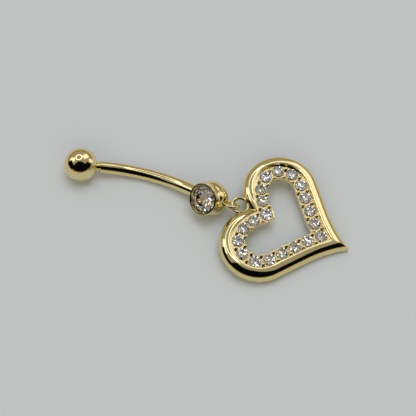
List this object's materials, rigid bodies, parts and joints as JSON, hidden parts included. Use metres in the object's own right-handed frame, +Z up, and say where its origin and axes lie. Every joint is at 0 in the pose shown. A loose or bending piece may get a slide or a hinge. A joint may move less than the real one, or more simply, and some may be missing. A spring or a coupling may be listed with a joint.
{
  "type": "navel ring",
  "caption": "Curved barbell navel ring lying flat, with a screw-on end ball, a bezel-set gem ball and an open heart pendant lined with round cut stones.",
  "frame": {"origin": "centre of the bounding box, on the table top that the piece lies on", "axes": "+Z up from the table; +X along the longest extent, from the plain ball to the point of the heart; the viewer of the picture is towards -Y"},
  "size_m": [0.0376, 0.0192, 0.0052],
  "materials": {
    "polished_gold": "polished pale yellow gold",
    "clear_stone": "cut and polished clear stone"
  },
  "bodies": {
    "ring": {"barbell": "polished_gold", "centre_gem": "clear_stone", "heart_frame": "polished_gold", "point_stone": "clear_stone", "cleft_stone": "clear_stone", "left_stone_1": "clear_stone", "left_stone_2": "clear_stone", "left_stone_3": "clear_stone", "left_stone_4": "clear_stone", "left_stone_5": "clear_stone", "left_stone_6": "clear_stone", "left_stone_7": "clear_stone", "left_stone_8": "clear_stone", "left_stone_9": "clear_stone", "right_stone_1": "clear_stone", "right_stone_2": "clear_stone", "right_stone_3": "clear_stone", "right_stone_4": "clear_stone", "right_stone_5": "clear_stone", "right_stone_6": "clear_stone", "right_stone_7": "clear_stone", "right_stone_8": "clear_stone", "right_stone_9": "clear_stone"},
    "ball": {"ball": "polished_gold"}
  },
  "joints": [
    {"name": "ball_off", "type": "slide", "parent": "ring", "child": "ball", "axis": [-0.9762, 0.0024, 0.2167], "range_m": [0, 0.006]}
  ]
}
